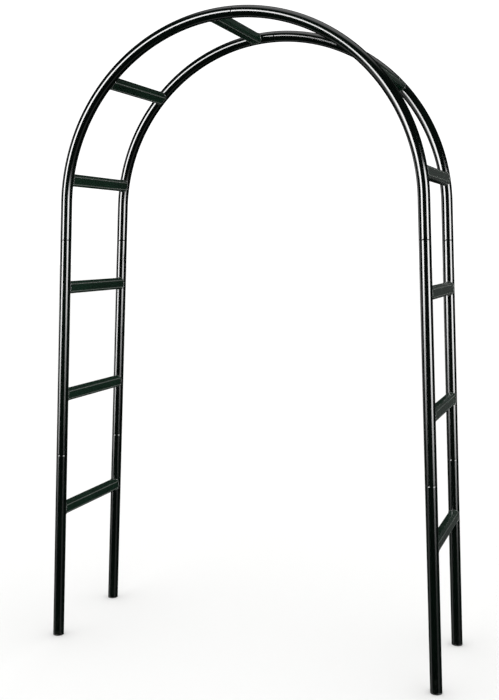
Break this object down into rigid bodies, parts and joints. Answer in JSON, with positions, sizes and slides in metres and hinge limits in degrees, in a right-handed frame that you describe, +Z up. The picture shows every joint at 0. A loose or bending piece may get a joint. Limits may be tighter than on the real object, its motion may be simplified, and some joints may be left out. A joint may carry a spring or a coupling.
{
  "type": "trellis arch",
  "caption": "Free-standing garden arch of two round-tube hoops joined by coped crossbars, with a semicircular top and slightly splayed legs.",
  "frame": {"origin": "on the ground, midway between the four feet", "axes": "+X across the walkway to the right, +Y through the arch from front to back, +Z up"},
  "size_m": [1.5654, 0.505, 2.4012],
  "materials": {
    "hoop_enamel": "gloss, very dark green",
    "crossbar_enamel": "gloss, very dark green",
    "painted_weld": "gloss over a rippled bead",
    "zinc_plated_sleeve": "zinc plated",
    "blackened_screws": "satin black",
    "foot_cap_plastic": "fine moulded grain"
  },
  "bodies": {
    "root": {"crown_crossbar": "crossbar_enamel", "crown_crossbar_welds": "painted_weld", "front_crown_sleeve": "zinc_plated_sleeve", "front_hoop_joint_screws": "blackened_screws", "front_left_arch_sleeve": "zinc_plated_sleeve", "front_left_arch_tube": "hoop_enamel", "front_left_foot_cap": "foot_cap_plastic", "front_left_leg_sleeve": "zinc_plated_sleeve", "front_left_lower_leg": "hoop_enamel", "front_left_upper_leg": "hoop_enamel", "front_right_arch_sleeve": "zinc_plated_sleeve", "front_right_arch_tube": "hoop_enamel", "front_right_foot_cap": "foot_cap_plastic", "front_right_leg_sleeve": "zinc_plated_sleeve", "front_right_lower_leg": "hoop_enamel", "front_right_upper_leg": "hoop_enamel", "left_crossbar_1": "crossbar_enamel", "left_crossbar_2": "crossbar_enamel", "left_crossbar_3": "crossbar_enamel", "left_crossbar_4": "crossbar_enamel", "left_crossbar_welds": "painted_weld", "left_haunch_crossbar": "crossbar_enamel", "rear_crown_sleeve": "zinc_plated_sleeve", "rear_hoop_joint_screws": "blackened_screws", "rear_left_arch_sleeve": "zinc_plated_sleeve", "rear_left_arch_tube": "hoop_enamel", "rear_left_foot_cap": "foot_cap_plastic", "rear_left_leg_sleeve": "zinc_plated_sleeve", "rear_left_lower_leg": "hoop_enamel", "rear_left_upper_leg": "hoop_enamel", "rear_right_arch_sleeve": "zinc_plated_sleeve", "rear_right_arch_tube": "hoop_enamel", "rear_right_foot_cap": "foot_cap_plastic", "rear_right_leg_sleeve": "zinc_plated_sleeve", "rear_right_lower_leg": "hoop_enamel", "rear_right_upper_leg": "hoop_enamel", "right_crossbar_1": "crossbar_enamel", "right_crossbar_2": "crossbar_enamel", "right_crossbar_3": "crossbar_enamel", "right_crossbar_4": "crossbar_enamel", "right_crossbar_welds": "painted_weld", "right_haunch_crossbar": "crossbar_enamel"}
  },
  "joints": []
}
